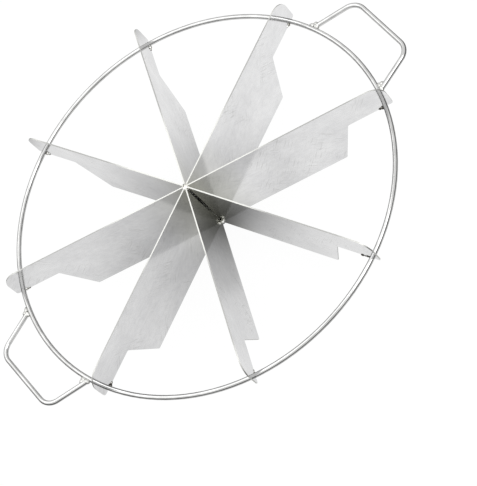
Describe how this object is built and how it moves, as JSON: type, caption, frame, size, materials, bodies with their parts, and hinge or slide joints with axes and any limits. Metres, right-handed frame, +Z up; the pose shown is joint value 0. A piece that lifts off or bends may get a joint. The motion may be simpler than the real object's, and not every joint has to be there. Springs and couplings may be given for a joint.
{
  "type": "cake portion marker",
  "caption": "Stainless steel cake portion marker: stepped sheet blades stand like spokes in a closed wire ring with wire side handles, and mark even portions on a round cake.",
  "frame": {"origin": "on the hub's axis, in the plane of the blades' lower edges, which the marker stands on", "axes": "+Z up along the hub's axis, +X through the middle of the right handle's side of the ring, blades at 22.5 degrees from X and every 45 degrees on"},
  "size_m": [0.3098, 0.258, 0.0505],
  "materials": {
    "sheet_steel": "satin, fine grain along the blade",
    "wire_steel": "bright drawn wire",
    "weld_steel": "as welded, lightly polished"
  },
  "bodies": {
    "root": {"ring": "wire_steel", "blade_1": "sheet_steel", "blade_2": "sheet_steel", "blade_3": "sheet_steel", "blade_4": "sheet_steel", "blade_5": "sheet_steel", "blade_6": "sheet_steel", "blade_7": "sheet_steel", "blade_8": "sheet_steel", "handle_right": "wire_steel", "handle_left": "wire_steel", "ring_weld_1": "weld_steel", "ring_weld_2": "weld_steel", "ring_weld_3": "weld_steel", "ring_weld_4": "weld_steel", "ring_weld_5": "weld_steel", "ring_weld_6": "weld_steel", "ring_weld_7": "weld_steel", "ring_weld_8": "weld_steel", "handle_weld_right_front": "weld_steel", "handle_weld_right_rear": "weld_steel", "handle_weld_left_front": "weld_steel", "handle_weld_left_rear": "weld_steel", "hub_weld_top": "weld_steel", "hub_weld_bottom": "weld_steel"}
  },
  "joints": []
}
